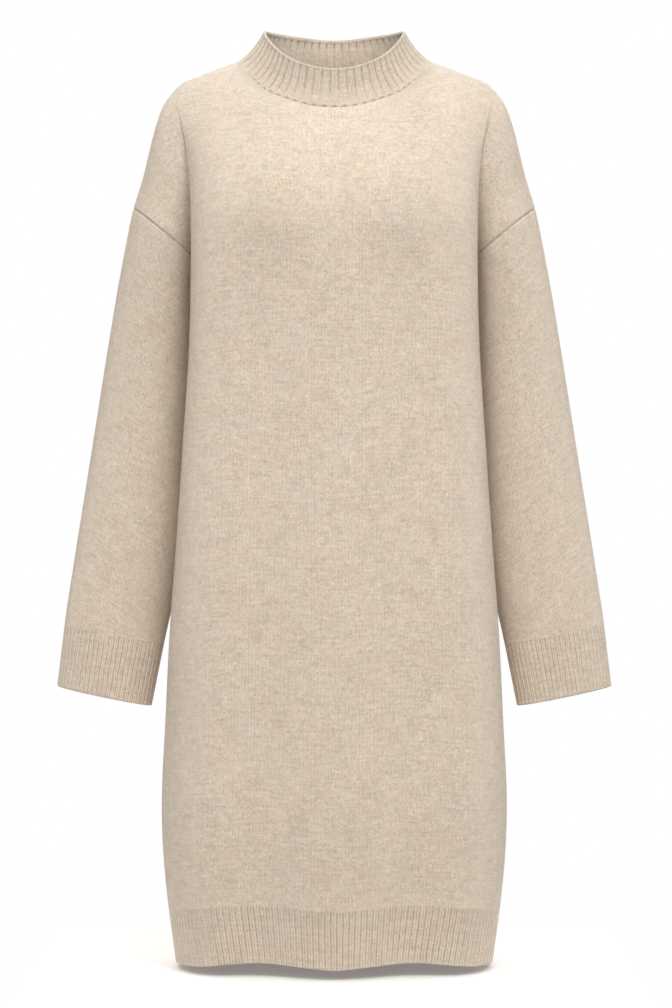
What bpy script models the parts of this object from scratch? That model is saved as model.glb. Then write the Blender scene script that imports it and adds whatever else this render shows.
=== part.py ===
"""A sweater dress in heavy plain knit, filled out as when it is worn: a front and a back that drop off the
shoulder, two sleeves with ribbed cuffs, a ribbed hem in two halves and a ribbed funnel collar.

Metres, +Z up. The front faces -Y and +X is the wearer's left. The origin lies between the shoulders, level with
the ends of the neckline. Each piece is a thin wall: its outer points come from the tables below, its inner
points lie one wall further in, and two sewn pieces stay one seam gap apart.
"""

import math
from collections import Counter

import bpy
import numpy as np

# Walls, ribs and seams
KNIT_WALL = 0.0024
RIB_WALL = 0.0030
RIB_GROOVE = 0.0012
SEAM_GAP = 0.0003
KNIT_SHARP_ANGLE = math.radians(60)
RIB_SHARP_ANGLE = math.radians(30)
HEM_RIBS = 80
CUFF_RIBS = 52
COLLAR_RIBS = 56
HEM_RIB_HEIGHT = 0.061
PLAIN_COLOUR = (0.66, 0.56, 0.44)
RIB_COLOUR = (0.64, 0.54, 0.42)

# How finely the plain pieces are divided
FRONT_COLUMNS = 9
SIDE_COLUMNS = 3
NECK_COLUMNS = 6
ARM_COLUMNS = 5
LOWER_ROWS = 15
UPPER_ROWS = 11
SLEEVE_ROWS = 12
OUTLINE_POINTS = 161
CURVE_POINTS = 200
EVENING_ROUNDS = 8
EVENING_STEPS = (0.50, -0.53)

# The sleeve's shortest distance to the body, and how softly it is pressed away from it
SLEEVE_CLEARANCE = 0.0015
SLEEVE_SOFTNESS = 0.006

UNDERARM = (0.138, 0.014, -0.214)
SIDE_SEAM_Y = UNDERARM[1]


def table(columns, *rows):
    """A table with a named array for each column."""
    return {name: np.array(values) for name, values in zip(columns.split(), zip(*rows))}


# The body's level outline at some heights, from the hem up: half its width, how far its front and back reach,
# where it is widest, and how square its front and back are (2 is an ellipse)
BODY = table(
    "height half_width front back widest_y front_power back_power",
    (-0.960, 0.1665, -0.098, 0.093, 0.000, 2.5, 2.2),
    (-0.900, 0.1745, -0.108, 0.104, 0.000, 2.6, 2.2),
    (-0.850, 0.1795, -0.119, 0.114, -0.004, 2.6, 2.2),
    (-0.790, 0.1820, -0.125, 0.121, -0.008, 2.6, 2.2),
    (-0.700, 0.1780, -0.126, 0.125, -0.014, 2.6, 2.2),
    (-0.600, 0.1728, -0.124, 0.125, -0.022, 2.6, 2.2),
    (-0.500, 0.1650, -0.121, 0.121, -0.030, 2.6, 2.1),
    (-0.400, 0.1580, -0.119, 0.112, -0.038, 2.5, 2.1),
    (-0.300, 0.1515, -0.121, 0.105, -0.045, 2.5, 2.1),
    (-0.214, 0.1490, -0.128, 0.108, -0.050, 2.5, 2.1),
)

# The hem's lower edge, from the middle (0) to the side seam (1)
HEM_EDGE = table(
    "across front back",
    (0.00, -0.947, -0.955),
    (0.35, -0.943, -0.952),
    (0.72, -0.950, -0.955),
    (1.00, -0.953, -0.953),
)

# Long soft folds: where each lies at the chest and at the hem, half its spread, and how far it stands out. They
# fade out in the lead above their start, and the higher their growth, the nearer the hem they deepen.
FOLDS_START = -0.230
FOLDS_END = -0.950
FOLDS_LEAD = 0.108
FOLDS_GROWTH = 1.3
FRONT_FOLDS = table(
    "chest_x hem_x spread chest_depth hem_depth",
    (-0.130, -0.150, 0.030, 0.002, 0.010),
    (-0.068, -0.076, 0.032, -0.002, -0.013),
    (0.000, 0.000, 0.034, 0.001, 0.008),
    (0.072, 0.078, 0.032, -0.002, -0.013),
    (0.132, 0.158, 0.030, 0.002, 0.010),
)
BACK_FOLDS = table(
    "chest_x hem_x spread chest_depth hem_depth",
    (-0.100, -0.120, 0.038, 0.001, 0.009),
    (-0.045, -0.050, 0.034, -0.001, -0.009),
    (0.020, 0.030, 0.036, 0.001, 0.008),
    (0.095, 0.110, 0.040, -0.001, -0.007),
)

# The soft fullness of the chest
CHEST_X = 0.072
CHEST_HEIGHT = -0.152
CHEST_HALF_WIDTH = 0.078
CHEST_HALF_HEIGHT = 0.084
CHEST_DEPTH = 0.010

# Half of the collar from the middle of the front to the middle of the back, at the neckline and at the rim
COLLAR = table(
    "seam_x seam_y seam_z rim_x rim_y rim_z",
    (0.0000, -0.080, -0.0580, 0.0000, -0.066, -0.0170),
    (0.0352, -0.075, -0.0534, 0.0240, -0.063, -0.0155),
    (0.0509, -0.068, -0.0470, 0.0396, -0.056, -0.0110),
    (0.0715, -0.053, -0.0368, 0.0523, -0.046, -0.0015),
    (0.0885, -0.030, -0.0196, 0.0645, -0.029, 0.0130),
    (0.1040, 0.003, 0.0000, 0.0745, 0.002, 0.0325),
    (0.0880, 0.045, -0.0075, 0.0665, 0.028, 0.0352),
    (0.0500, 0.069, -0.0125, 0.0380, 0.051, 0.0340),
    (0.0000, 0.077, -0.0145, 0.0000, 0.060, 0.0315),
)
NECK_END = 5
# How far in the collar's wall curves at some heights between the seam (0) and the rim (1)
COLLAR_CURVE = table(
    "up inward",
    (0.00, 0.0000),
    (0.30, 0.0040),
    (0.65, 0.0030),
    (1.00, 0.0000),
)

# The shoulder seam from the neckline's end to the top of the armhole
SHOULDER = table(
    "x y z",
    (0.1040, 0.003, 0.0000),
    (0.1185, 0.002, -0.0064),
    (0.1425, 0.001, -0.0150),
    (0.1580, 0.000, -0.0211),
    (0.1680, 0.000, -0.0283),
    (0.1800, 0.002, -0.0445),
    (0.1895, 0.004, -0.0700),
    (0.1985, 0.007, -0.1040),
    (0.2070, 0.010, -0.1360),
    (0.2135, 0.012, -0.1550),
)
SHOULDER_EDGE = 3
SHOULDER_CREASE = 4

# Lines up each panel from the underarm's level: the middle, the body's rounded side, and the crease beside the arm
FRONT_MIDDLE = [(0, -0.129, -0.180), (0, -0.123, -0.140), (0, -0.107, -0.098)]
FRONT_SIDE = [(0.1495, -0.051, -0.175), (0.1510, -0.051, -0.125), (0.1555, -0.047, -0.088),
              (0.1595, -0.034, -0.050), (0.1590, -0.016, -0.0250)]
FRONT_CREASE = [(0.1395, -0.018, -0.188), (0.1425, -0.033, -0.150), (0.1475, -0.042, -0.110),
                (0.1560, -0.042, -0.075), (0.1650, -0.029, -0.045), (0.1680, -0.013, -0.0298)]
BACK_MIDDLE = [(0, 0.109, -0.170), (0, 0.107, -0.110), (0, 0.096, -0.055)]
BACK_SIDE = [(0.1210, 0.067, -0.170), (0.1260, 0.068, -0.120), (0.1360, 0.062, -0.075),
             (0.1505, 0.042, -0.040), (0.1575, 0.019, -0.0240)]
BACK_CREASE = [(0.1400, 0.038, -0.188), (0.1425, 0.051, -0.150), (0.1475, 0.055, -0.110),
               (0.1560, 0.049, -0.075), (0.1650, 0.032, -0.045), (0.1680, 0.015, -0.0298)]
UNDERARM_ARCH = 0.004

# The sleeve's sections from the armhole to the cuff's end: the ends of each across the arm, how far back its
# middle lies, and half its depth
SLEEVE = table(
    "outer_x outer_z inner_x inner_z middle_y half_depth",
    (0.2135, -0.155, 0.1435, -0.2110, 0.012, 0.058),
    (0.2265, -0.216, 0.1450, -0.2640, 0.020, 0.057),
    (0.2415, -0.300, 0.1480, -0.3340, 0.028, 0.053),
    (0.2580, -0.403, 0.1530, -0.4280, 0.030, 0.047),
    (0.2735, -0.502, 0.1605, -0.5260, 0.026, 0.039),
    (0.2875, -0.597, 0.1805, -0.6165, 0.019, 0.031),
    (0.2950, -0.662, 0.1940, -0.6830, 0.015, 0.028),
)
SLEEVE_END = 5


def smooth(knots, values, wanted):
    """Values between the knots along one smooth curve, a cubic from each knot to the next."""
    slopes = np.gradient(values, knots, axis=0)
    index = np.clip(np.searchsorted(knots, wanted) - 1, 0, len(knots) - 2)
    width = knots[index + 1] - knots[index]
    part = (wanted - knots[index]) / width
    if np.ndim(values) > 1:
        part = part[..., None]
        width = width[..., None]
    rest = 1 - part
    start = values[index] * (1 + 2 * part) + slopes[index] * width * part
    end = values[index + 1] * (1 + 2 * rest) - slopes[index + 1] * width * rest
    return start * rest**2 + end * part**2


def distances(line):
    """How far along a line each of its points lies."""
    steps = np.linalg.norm(np.diff(line, axis=0), axis=1)
    return np.concatenate([[0], np.cumsum(steps)])


def spaced(line, fractions, values=None):
    """Points at the given fractions of a line's length, or what the values along it are there."""
    along = distances(line)
    wanted = np.asarray(fractions) * along[-1]
    values = line if values is None else values
    return np.stack([np.interp(wanted, along, values[:, axis]) for axis in range(3)], axis=-1)


def guide(points, steps, first=0, last=-1):
    """Evenly spaced points from one named point to another on the smooth curve through them all."""
    points = np.array(points, dtype=float)
    knots = distances(points)
    line = smooth(knots, points, np.linspace(knots[first], knots[last], CURVE_POINTS))
    return spaced(line, np.linspace(0, 1, steps + 1))


def columns_of(rows, *names):
    """Some columns of a table as points."""
    return np.stack([rows[name] for name in names], axis=1)


def body_outline(height):
    """The body's level outline on the +X side, from the middle of the front to the middle of the back."""
    size = {name: smooth(BODY["height"], BODY[name], height) for name in BODY}
    turn = np.linspace(-math.pi / 2, math.pi / 2, OUTLINE_POINTS)
    power = np.where(turn < 0, size["front_power"], size["back_power"])
    depth = np.where(turn < 0, size["widest_y"] - size["front"], size["back"] - size["widest_y"])
    across = size["half_width"] * np.maximum(np.cos(turn), 0) ** (2 / power)
    along = size["widest_y"] + np.sign(turn) * depth * np.abs(np.sin(turn)) ** (2 / power)
    return np.stack([across, along, np.full_like(turn, height)], axis=1)


def panel_point(is_front, fraction, height):
    """The point of the front or back at a fraction of the way from its middle to the side seam."""
    outline = body_outline(height)
    seam = np.array([np.interp(SIDE_SEAM_Y, outline[:, 1], outline[:, axis]) for axis in range(3)])
    if is_front:
        line = np.vstack([outline[outline[:, 1] < SIDE_SEAM_Y], seam])
    else:
        line = np.vstack([outline[outline[:, 1] > SIDE_SEAM_Y][::-1], seam])
    return spaced(line, fraction)


def relief(is_front, points):
    """How far the folds and the chest stand out from the plain outline at each point."""
    x, height = points[..., 0], points[..., 2]
    folds = FRONT_FOLDS if is_front else BACK_FOLDS
    fade = np.clip(1 + (FOLDS_START - height) / FOLDS_LEAD, 0, 1)
    down = np.clip((FOLDS_START - height) / (FOLDS_START - FOLDS_END), 0, 1)
    total = np.zeros_like(x)
    for chest_x, hem_x, spread, chest_depth, hem_depth in zip(*folds.values()):
        middle = chest_x + (hem_x - chest_x) * down
        depth = chest_depth * fade + (hem_depth - chest_depth) * down**FOLDS_GROWTH
        total += depth * np.exp(-(((x - middle) / spread) ** 2))
    if is_front:
        sideways = (np.abs(x) - CHEST_X) / CHEST_HALF_WIDTH
        upward = (height - CHEST_HEIGHT) / CHEST_HALF_HEIGHT
        total += CHEST_DEPTH * np.maximum(1 - sideways**2 - upward**2, 0) ** 2
    return total


def pushed_out(is_front, points):
    """A panel's points with their folds, which fade out before the body's rounded side."""
    across = np.linspace(0, 1, points.shape[-2])
    strength = np.clip(1 - (across * (FRONT_COLUMNS + SIDE_COLUMNS) / FRONT_COLUMNS) ** 4, 0, 1)
    outward = -1 if is_front else 1
    moved = points.copy()
    moved[..., 1] += outward * strength * relief(is_front, points)
    return moved


def hem_height(is_front, fraction, up):
    """The height of a level stretch of the hem, where up is 0 at the lower edge and 1 at the rib's top."""
    edge = HEM_EDGE["front" if is_front else "back"]
    return smooth(HEM_EDGE["across"], edge, np.asarray(fraction)) + up * HEM_RIB_HEIGHT


def patch(bottom, top, left, right, progress, reach=1):
    """A grid of points between four lines. Progress is how far x, y and z have gone at each row, and the higher
    the reach, the less far in from the left and the right line its own shape is felt."""
    across = np.linspace(0, 1, len(bottom))[None, :, None]
    plain = bottom[None] * (1 - progress[:, None]) + top[None] * progress[:, None]
    left_shift = (left - plain[:, 0])[:, None]
    right_shift = (right - plain[:, -1])[:, None]
    return plain + left_shift * (1 - across) ** reach + right_shift * across**reach


def evened(grid, first_row):
    """The grid with the unevenness between its inner points taken out, from a row on, and its edges kept."""
    grid = grid.copy()
    upper = grid[first_row:]
    for _ in range(EVENING_ROUNDS):
        for amount in EVENING_STEPS:
            around = upper[:-2, 1:-1] + upper[2:, 1:-1] + upper[1:-1, :-2] + upper[1:-1, 2:]
            upper[1:-1, 1:-1] += amount * (around / 4 - upper[1:-1, 1:-1])
    return grid


def sleeve_ring(down):
    """A ring round the sleeve, from its outer side by way of the front. Down is 0 at the armhole."""
    middles = columns_of(SLEEVE, "outer_x", "outer_z") + columns_of(SLEEVE, "inner_x", "inner_z")
    knots = distances(middles / 2)
    size = {name: smooth(knots, SLEEVE[name], down * knots[SLEEVE_END]) for name in SLEEVE}
    turn = np.linspace(0, 2 * math.pi, 2 * UPPER_ROWS, endpoint=False)
    outer = np.array([size["outer_x"], size["middle_y"], size["outer_z"]])
    inner = np.array([size["inner_x"], size["middle_y"], size["inner_z"]])
    ring = (outer + inner) / 2 + np.cos(turn)[:, None] * (outer - inner) / 2
    ring[:, 1] -= size["half_depth"] * np.sin(turn)
    if down > 0:
        for point in ring:
            outline = body_outline(min(point[2], BODY["height"][-1]))
            body_x = np.interp(point[1], outline[:, 1], outline[:, 0]) + SLEEVE_CLEARANCE
            excess = point[0] - body_x
            point[0] = body_x + (excess + math.hypot(excess, SLEEVE_SOFTNESS)) / 2
    return ring


def half_panel(is_front, side):
    """The grids of one half of a panel: body, beside the body's edge, and over the upper arm. Side is 1 or -1."""
    mirror = np.array([side, 1, 1])
    fractions = np.linspace(0, 1, FRONT_COLUMNS + SIDE_COLUMNS + 1)
    seam_heights = hem_height(is_front, fractions, 1)
    lower = []
    for step in np.linspace(0, 1, LOWER_ROWS + 1):
        heights = seam_heights + (UNDERARM[2] - seam_heights) * step
        lower.append([panel_point(is_front, f, z) for f, z in zip(fractions, heights)])
    lower = np.array(lower)

    below, bottom = lower[-2], lower[-1]
    middle_points = FRONT_MIDDLE if is_front else BACK_MIDDLE
    side_points = FRONT_SIDE if is_front else BACK_SIDE
    crease_points = FRONT_CREASE if is_front else BACK_CREASE

    shoulder = columns_of(SHOULDER, "x", "y", "z")
    neck_to_edge = guide(shoulder, FRONT_COLUMNS - NECK_COLUMNS, 0, SHOULDER_EDGE)
    edge_to_crease = guide(shoulder, SIDE_COLUMNS, SHOULDER_EDGE, SHOULDER_CREASE)
    crease_to_arm = guide(shoulder, ARM_COLUMNS, SHOULDER_CREASE)
    neck = half_neckline(is_front)

    middle = guide([below[0], bottom[0], *middle_points, neck[0]], UPPER_ROWS, first=1)
    edge = guide([below[FRONT_COLUMNS], bottom[FRONT_COLUMNS], *side_points, edge_to_crease[0]], UPPER_ROWS, first=1)
    crease = guide([bottom[-1], *crease_points, crease_to_arm[0]], UPPER_ROWS)

    turn = np.linspace(0, math.pi / 2, UPPER_ROWS + 1)
    over_shoulder = np.stack([1 - np.cos(turn), 1 - np.cos(turn), np.sin(turn)], axis=1)
    top = np.vstack([neck, neck_to_edge[1:]])
    chest = patch(bottom[: FRONT_COLUMNS + 1], top, middle, edge, over_shoulder, reach=2)
    beside = patch(bottom[FRONT_COLUMNS:], edge_to_crease, edge, crease, over_shoulder)
    body = np.concatenate([chest, beside[:, 1:]], axis=1)
    body = evened(np.concatenate([lower[:-1], body]), LOWER_ROWS - 3)

    armhole = sleeve_ring(0)
    order = UPPER_ROWS + np.arange(UPPER_ROWS + 1) * (-1 if is_front else 1)
    armhole = armhole[order % len(armhole)]
    arch = np.linspace(bottom[-1], armhole[0], ARM_COLUMNS + 1)
    arch[:, 2] += UNDERARM_ARCH * np.sin(np.linspace(0, math.pi, ARM_COLUMNS + 1))
    gently = np.repeat((1 - np.cos(2 * turn))[:, None] / 2, 3, axis=1)
    arm = patch(arch, crease_to_arm, crease, armhole, gently)
    return pushed_out(is_front, body * mirror), arm * mirror


def ring_of(prefix):
    """The collar's seam or rim as points from the middle of the front to the middle of the back, on both sides."""
    half = columns_of(COLLAR, f"{prefix}_x", f"{prefix}_y", f"{prefix}_z")
    mirrored = half * (-1, 1, 1)
    return np.vstack([mirrored[1], half, mirrored[-2]])


def half_collar(prefix, is_front):
    """The collar's seam or rim from the middle of the front or back to the shoulder."""
    points = ring_of(prefix)
    if is_front:
        return guide(points, NECK_COLUMNS, 1, NECK_END + 1)
    return guide(points, NECK_COLUMNS, NECK_END + 1, len(points) - 2)[::-1]


def half_neckline(is_front):
    return half_collar("seam", is_front)


class Sheet:
    """The joined outer surface of the knitted pieces: points that they share, and the faces of each."""

    def __init__(self):
        self.points = []
        self.places = {}
        self.pieces = {}

    def place(self, point):
        key = tuple(np.round(point, 6) + 0.0)
        if key not in self.places:
            self.places[key] = len(self.points)
            self.points.append(point)
        return self.places[key]

    def add(self, piece, grid, turned):
        """Adds a grid of points as four-cornered faces, turned over where they would face inward."""
        rows = [[self.place(point) for point in row] for row in grid]
        faces = self.pieces.setdefault(piece, [])
        for low, high in zip(rows, rows[1:]):
            for corners in zip(low, low[1:], high[1:], high):
                face = list(dict.fromkeys(corners))
                faces.append(tuple(reversed(face)) if turned else tuple(face))

    def outward(self):
        """The outward direction at each point, averaged over every face that meets there."""
        points = np.array(self.points)
        total = np.zeros_like(points)
        for faces in self.pieces.values():
            for face in faces:
                across = points[face[2]] - points[face[0]]
                other = points[face[-1]] - points[face[1]]
                total[list(face)] += np.cross(across, other)
        return total / np.linalg.norm(total, axis=1, keepdims=True)


def open_edges(faces):
    """The edges that belong to one face only, in that face's direction."""
    edges = Counter()
    for face in faces:
        edges.update(zip(face, face[1:] + face[:1]))
    return [edge for edge in edges if edge[::-1] not in edges]


def drawn_in(points, normals, edges, distance):
    """The points with each open edge moved in along the cloth by a distance."""
    inward = np.zeros_like(points)
    for first, last in edges:
        across = np.cross(normals[first] + normals[last], points[last] - points[first])
        across /= np.linalg.norm(across)
        inward[first] += across
        inward[last] += across
    squares = (inward**2).sum(axis=1, keepdims=True)
    return points + inward * 2 * distance / np.where(squares > 0, squares, 1)


def material(name, colour, roughness):
    made = bpy.data.materials.new(name)
    made.use_nodes = True
    shader = made.node_tree.nodes["Principled BSDF"]
    shader.inputs["Base Color"].default_value = (*colour, 1)
    shader.inputs["Roughness"].default_value = roughness
    shader.inputs["Metallic"].default_value = 0
    return made


def edge_strips(outer, faces):
    """Two triangles along each open edge, split from its lower end so that two pieces match along their seam."""
    count = len(outer)
    strips = []
    for first, last in open_edges(faces):
        if outer[first][2] < outer[last][2]:
            strips += [(last, first, count + last), (first, count + first, count + last)]
        else:
            strips += [(last, first, count + first), (last, count + first, count + last)]
    return strips


def add_wall(name, outer, inner, faces, colour, sharp_angle):
    """A closed solid from a piece's outer and inner points and its outer faces."""
    backs = [tuple(len(outer) + place for place in reversed(face)) for face in faces]
    strips = edge_strips(outer, faces)
    mesh = bpy.data.meshes.new(name)
    mesh.from_pydata(np.vstack([outer, inner]).tolist(), [], [*faces, *backs, *strips])
    mesh.materials.append(material(f"{name}_yarn", colour, roughness=0.95))
    mesh.shade_smooth()
    mesh.set_sharp_from_angle(angle=sharp_angle)
    piece = bpy.data.objects.new(name, mesh)
    bpy.context.scene.collection.objects.link(piece)
    return piece


def add_plain_piece(sheet, name, colour):
    """A plain knitted wall from its faces of the joined sheet."""
    faces = sheet.pieces[name]
    used = sorted({place for face in faces for place in face})
    fresh = {place: number for number, place in enumerate(used)}
    faces = [tuple(fresh[place] for place in face) for face in faces]
    normals = sheet.outward()[used]
    outer = drawn_in(np.array(sheet.points)[used], normals, open_edges(faces), SEAM_GAP / 2)
    return add_wall(name, outer, outer - normals * KNIT_WALL, faces, colour, KNIT_SHARP_ANGLE)


def add_ribbed_piece(sheet, name, rings, ribs, closed, colour):
    """A ribbed band from rings of the joined sheet, the first at its seam. Every second column is a groove."""
    directions = sheet.outward()
    grid, outward = [], []
    for ring in rings:
        line = np.vstack([ring, ring[:1]]) if closed else ring
        trim = 0 if closed else SEAM_GAP / 2 / distances(line)[-1]
        fractions = np.linspace(trim, 1 - trim, 2 * ribs + 1)
        grid.append(spaced(line, fractions))
        outward.append(spaced(line, fractions, directions[[sheet.place(point) for point in line]]))
    grid, outward = np.array(grid), np.array(outward)
    if closed:
        grid, outward = grid[:, :-1], outward[:, :-1]
    down = grid[1] - grid[0]
    grid[0] += down / np.linalg.norm(down, axis=1, keepdims=True) * SEAM_GAP / 2
    outward /= np.linalg.norm(outward, axis=-1, keepdims=True)
    inner = grid - outward * RIB_WALL
    outer = grid.copy()
    outer[:, 1::2] -= outward[:, 1::2] * RIB_GROOVE

    rows, columns = grid.shape[:2]
    faces = []
    for row in range(rows - 1):
        for column in range(columns if closed else columns - 1):
            beside = (column + 1) % columns
            start, end = row * columns, (row + 1) * columns
            faces.append((start + column, start + beside, end + beside, end + column))
    facing = np.cross(grid[0, 1] - grid[0, 0], grid[1, 0] - grid[0, 0])
    if facing @ outward[0, 0] < 0:
        faces = [tuple(reversed(face)) for face in faces]
    return add_wall(name, outer.reshape(-1, 3), inner.reshape(-1, 3), faces, colour, RIB_SHARP_ANGLE)


def hem_rings(is_front):
    """Rings down one half of the ribbed hem, from side seam to side seam."""
    rings = []
    fractions = np.linspace(0, 1, FRONT_COLUMNS + SIDE_COLUMNS + 1)
    for up in (1, 0.5, 0):
        heights = hem_height(is_front, fractions, up)
        half = np.array([panel_point(is_front, f, z) for f, z in zip(fractions, heights)])
        left = pushed_out(is_front, half)
        right = pushed_out(is_front, half * (-1, 1, 1))
        rings.append(np.vstack([right[:0:-1], left]))
    return rings


def collar_rings():
    """Rings up the collar, from the neckline to the rim, starting at the middle of the front."""
    edges = []
    for prefix in ("seam", "rim"):
        front, back = half_collar(prefix, True), half_collar(prefix, False)
        half = np.vstack([front, back[-2::-1]])
        edges.append(np.vstack([half, (half * (-1, 1, 1))[-2:0:-1]]))
    seam, rim = edges
    centre = (0, (COLLAR["seam_y"][0] + COLLAR["seam_y"][-1]) / 2, 0)
    inward = (centre - seam) * (1, 1, 0)
    inward /= np.linalg.norm(inward, axis=1, keepdims=True)
    rings = []
    for up, depth in zip(COLLAR_CURVE["up"], COLLAR_CURVE["inward"]):
        rings.append(seam + (rim - seam) * up + inward * depth)
    return rings


def sleeve_and_cuff_rings(side):
    """Rings down one sleeve, and the two rings of its cuff."""
    middles = columns_of(SLEEVE, "outer_x", "outer_z") + columns_of(SLEEVE, "inner_x", "inner_z")
    knots = distances(middles)
    mirror = (side, 1, 1)
    sleeve = [sleeve_ring(down) for down in np.linspace(0, 1, SLEEVE_ROWS + 1)]
    cuff = [sleeve[-1], sleeve_ring(knots[-1] / knots[SLEEVE_END])]
    return np.array(sleeve) * mirror, np.array(cuff) * mirror


def round_and_back(rings):
    """Closed rings as a grid whose last column is its first one again."""
    return np.concatenate([rings, rings[:, :1]], axis=1)


def clear_scene():
    for thing in list(bpy.data.objects):
        bpy.data.objects.remove(thing)


def build():
    clear_scene()
    sheet = Sheet()
    for side in (1, -1):
        for is_front in (True, False):
            for grid in half_panel(is_front, side):
                sheet.add("front" if is_front else "back", grid, turned=(side > 0) != is_front)

    bands = []
    for name, side in (("left", 1), ("right", -1)):
        sleeve, cuff = sleeve_and_cuff_rings(side)
        sheet.add(f"sleeve_{name}", round_and_back(sleeve), turned=side < 0)
        sheet.add(f"cuff_{name}", round_and_back(cuff), turned=side < 0)
        bands.append((f"cuff_{name}", cuff, CUFF_RIBS, True))
    for name, is_front in (("hem_rib_front", True), ("hem_rib_back", False)):
        rings = np.array(hem_rings(is_front))
        sheet.add(name, rings, turned=is_front)
        bands.append((name, rings, HEM_RIBS, False))
    collar = np.array(collar_rings())
    sheet.add("collar", round_and_back(collar), turned=False)
    bands.append(("collar", collar, COLLAR_RIBS, True))

    for name in ("front", "back", "sleeve_left", "sleeve_right"):
        add_plain_piece(sheet, name, PLAIN_COLOUR)
    for name, rings, ribs, closed in bands:
        add_ribbed_piece(sheet, name, rings, ribs, closed, RIB_COLOUR)


build()
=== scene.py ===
"""The look of a sweater dress in heavy plain knit, filled out as when it is worn.

Metres, +Z up, and the front faces -Y. The joined cloth is laid out from the same named lines as the part's
source, except that the front of the collar's rim is up to 4 mm higher, and divided into one smooth surface.
Every piece of the dress is then cut from that surface: the plain knitted pieces, and the ribbed bands with
their ribs and rolled edges.
"""

import math

import bmesh
import bpy
import numpy as np
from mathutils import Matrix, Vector
from mathutils.kdtree import KDTree


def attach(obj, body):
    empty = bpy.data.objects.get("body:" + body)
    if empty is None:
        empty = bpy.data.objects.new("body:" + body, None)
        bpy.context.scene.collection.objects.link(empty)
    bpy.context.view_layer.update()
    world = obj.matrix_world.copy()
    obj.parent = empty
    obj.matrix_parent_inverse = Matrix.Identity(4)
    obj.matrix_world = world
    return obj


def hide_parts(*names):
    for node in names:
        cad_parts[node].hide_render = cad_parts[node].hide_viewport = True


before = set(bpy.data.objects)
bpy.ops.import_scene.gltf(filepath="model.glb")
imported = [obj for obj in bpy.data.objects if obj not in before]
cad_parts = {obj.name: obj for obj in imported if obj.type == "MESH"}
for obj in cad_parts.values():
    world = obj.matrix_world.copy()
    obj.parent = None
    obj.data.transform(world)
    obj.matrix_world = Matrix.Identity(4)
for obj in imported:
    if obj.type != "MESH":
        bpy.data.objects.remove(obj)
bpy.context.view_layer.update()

# The walls, the height of the hem's rib, and the width and the height of one stitch of plain knit
KNIT_WALL = 0.0024
RIB_WALL = 0.0030
HEM_RIB_HEIGHT = 0.061
WALE = 0.0029
COURSE = 0.0022

# Columns of the layout on half a panel (its front or back face, its rounded side, and which of them end at
# the neckline) and over the upper arm, and its rows below and above the underarm and down a sleeve
FRONT_COLUMNS = 9
SIDE_COLUMNS = 3
NECK_COLUMNS = 6
ARM_COLUMNS = 5
LOWER_ROWS = 15
UPPER_ROWS = 11
SLEEVE_ROWS = 12

# How finely outlines and curves are followed, and how the layout's inner points are evened out
OUTLINE_POINTS = 161
CURVE_POINTS = 200
EVENING_ROUNDS = 8
EVENING_STEPS = (0.50, -0.53)
EVENED_ROWS_BELOW = 3

# The sleeve's shortest distance to the body, and how softly it is pressed away from it
SLEEVE_CLEARANCE = 0.0015
SLEEVE_SOFTNESS = 0.006

# The bottom of the armhole, and how far back the side seam lies
UNDERARM = (0.138, 0.014, -0.214)
SIDE_SEAM_Y = UNDERARM[1]


def table(columns, *rows):
    """A table with a named array for each column."""
    return {name: np.array(values) for name, values in zip(columns.split(), zip(*rows))}


# The body's level outline at some heights, from the hem up: half its width, how far its front and back
# reach, where it is widest, and how square its front and back are (2 is an ellipse)
BODY = table(
    "height half_width front back widest_y front_power back_power",
    (-0.960, 0.1665, -0.098, 0.093, 0.000, 2.5, 2.2),
    (-0.900, 0.1745, -0.108, 0.104, 0.000, 2.6, 2.2),
    (-0.850, 0.1795, -0.119, 0.114, -0.004, 2.6, 2.2),
    (-0.790, 0.1820, -0.125, 0.121, -0.008, 2.6, 2.2),
    (-0.700, 0.1780, -0.126, 0.125, -0.014, 2.6, 2.2),
    (-0.600, 0.1728, -0.124, 0.125, -0.022, 2.6, 2.2),
    (-0.500, 0.1650, -0.121, 0.121, -0.030, 2.6, 2.1),
    (-0.400, 0.1580, -0.119, 0.112, -0.038, 2.5, 2.1),
    (-0.300, 0.1515, -0.121, 0.105, -0.045, 2.5, 2.1),
    (-0.214, 0.1490, -0.128, 0.108, -0.050, 2.5, 2.1),
)

# The hem's lower edge, from the middle (0) to the side seam (1)
HEM_EDGE = table(
    "across front back",
    (0.00, -0.947, -0.955),
    (0.35, -0.943, -0.952),
    (0.72, -0.950, -0.955),
    (1.00, -0.953, -0.953),
)

# Long soft folds: where each lies at the chest and at the hem, half its spread, and how far it stands out.
# They fade out in the lead above their start, and the higher their growth, the nearer the hem they deepen.
FOLDS_START = -0.230
FOLDS_END = -0.950
FOLDS_LEAD = 0.108
FOLDS_GROWTH = 1.3
FRONT_FOLDS = table(
    "chest_x hem_x spread chest_depth hem_depth",
    (-0.130, -0.150, 0.030, 0.002, 0.010),
    (-0.068, -0.076, 0.032, -0.002, -0.013),
    (0.000, 0.000, 0.034, 0.001, 0.008),
    (0.072, 0.078, 0.032, -0.002, -0.013),
    (0.132, 0.158, 0.030, 0.002, 0.010),
)
BACK_FOLDS = table(
    "chest_x hem_x spread chest_depth hem_depth",
    (-0.100, -0.120, 0.038, 0.001, 0.009),
    (-0.045, -0.050, 0.034, -0.001, -0.009),
    (0.020, 0.030, 0.036, 0.001, 0.008),
    (0.095, 0.110, 0.040, -0.001, -0.007),
)

# The soft fullness of the chest
CHEST_X = 0.072
CHEST_HEIGHT = -0.152
CHEST_HALF_WIDTH = 0.078
CHEST_HALF_HEIGHT = 0.084
CHEST_DEPTH = 0.010

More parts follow.
